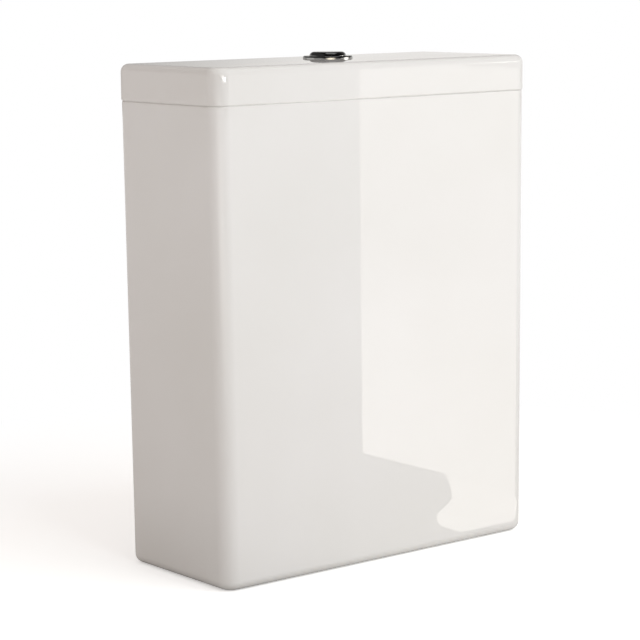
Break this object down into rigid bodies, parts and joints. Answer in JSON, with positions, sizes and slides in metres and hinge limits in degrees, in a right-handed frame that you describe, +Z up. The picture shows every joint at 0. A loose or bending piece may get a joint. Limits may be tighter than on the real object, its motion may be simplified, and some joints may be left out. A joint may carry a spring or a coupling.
{
  "type": "toilet cistern",
  "caption": "Upright rectangular ceramic toilet cistern with a lift-off lid, a round chrome dual-flush button, and a flush valve and a float fill valve inside.",
  "frame": {"origin": "middle of the underside of the base rim, under the middle of the button", "axes": "+Z up, -Y to the front that faces the room, +Y to the wall, +X to the right as seen from the front"},
  "size_m": [0.35, 0.144, 0.4445],
  "materials": {
    "glazed_ceramic": "slip-cast vitreous china with a fired clear gloss glaze",
    "chrome_plate": "bright chrome plating on moulded plastic",
    "black_rubber": "moulded black rubber",
    "red_silicone": "moulded silicone",
    "white_plastic": "injection moulded acetal and ABS",
    "blue_plastic": "injection moulded ABS",
    "grey_plastic": "injection moulded polypropylene",
    "steel": "drawn stainless steel wire"
  },
  "bodies": {
    "tank": {"cistern_body": "glazed_ceramic", "outlet_washer": "black_rubber", "valve_base": "white_plastic", "outlet_nut": "white_plastic", "coupling_gasket": "black_rubber", "valve_tower": "blue_plastic", "rocker_pins": "steel", "fill_shank": "white_plastic", "fill_washer": "black_rubber", "fill_nut": "white_plastic", "riser_sleeve": "white_plastic", "fill_head": "white_plastic", "diaphragm": "black_rubber", "fill_cap": "blue_plastic", "lever_pin": "steel"},
    "lid_unit": {"lid": "glazed_ceramic", "lid_pads": "black_rubber", "button_gasket": "black_rubber", "button_bezel": "chrome_plate", "button_housing": "white_plastic", "button_nut": "white_plastic", "full_spring": "steel", "half_spring": "steel"},
    "full_push": {"full_button": "chrome_plate", "full_rod": "white_plastic"},
    "half_push": {"half_button": "chrome_plate", "half_rod": "white_plastic"},
    "full_lever": {"full_rocker": "blue_plastic"},
    "half_lever": {"half_rocker": "blue_plastic"},
    "flush_cup": {"valve_cup": "white_plastic", "main_seal": "red_silicone"},
    "flush_tube": {"overflow_tube": "blue_plastic", "half_seal": "red_silicone", "tube_float": "white_plastic"},
    "shutoff_lever": {"fill_lever": "grey_plastic", "lever_pad": "black_rubber"},
    "water_float": {"fill_float": "grey_plastic", "float_link": "white_plastic"}
  },
  "joints": [
    {"name": "lid_lift", "type": "slide", "parent": "tank", "child": "lid_unit", "axis": [0, 0, 1], "range_m": [0, 0.15]},
    {"name": "full_button_press", "type": "slide", "parent": "lid_unit", "child": "full_push", "axis": [0, 0, -1], "range_m": [0, 0.005], "stiffness_N_per_m": 300, "springref_m": -0.008, "deforming": ["full_spring"]},
    {"name": "half_button_press", "type": "slide", "parent": "lid_unit", "child": "half_push", "axis": [0, 0, -1], "range_m": [0, 0.005], "stiffness_N_per_m": 300, "springref_m": -0.008, "deforming": ["half_spring"]},
    {"name": "full_rocker_tilt", "type": "hinge", "parent": "tank", "child": "full_lever", "pos_m": [-0.0298, 0, 0.3545], "axis": [0, 1, 0], "range_deg": [0, 13.7]},
    {"name": "half_rocker_tilt", "type": "hinge", "parent": "tank", "child": "half_lever", "pos_m": [0.0298, 0, 0.3545], "axis": [0, -1, 0], "range_deg": [0, 13.7]},
    {"name": "full_valve_lift", "type": "slide", "parent": "tank", "child": "flush_cup", "axis": [0, 0, 1], "range_m": [0, 0.00572]},
    {"name": "half_valve_lift", "type": "slide", "parent": "flush_cup", "child": "flush_tube", "axis": [0, 0, 1], "range_m": [0, 0.00572]},
    {"name": "float_rise", "type": "slide", "parent": "tank", "child": "water_float", "axis": [0, 0, 1], "range_m": [0, 0.01871]},
    {"name": "fill_lever_tilt", "type": "hinge", "parent": "tank", "child": "shutoff_lever", "pos_m": [-0.112, -0.004, 0.3505], "axis": [-1, 0, 0], "range_deg": [0, 34.05]}
  ],
  "couplings": [
    {"joint": "full_rocker_tilt", "follows": "full_button_press", "rad_per_m": 47.619},
    {"joint": "full_valve_lift", "follows": "full_button_press", "ratio": 1.1429},
    {"joint": "half_rocker_tilt", "follows": "half_button_press", "rad_per_m": 47.619},
    {"joint": "half_valve_lift", "follows": "half_button_press", "ratio": 1.1429},
    {"joint": "fill_lever_tilt", "follows": "float_rise", "rad_per_m": 31.713}
  ]
}
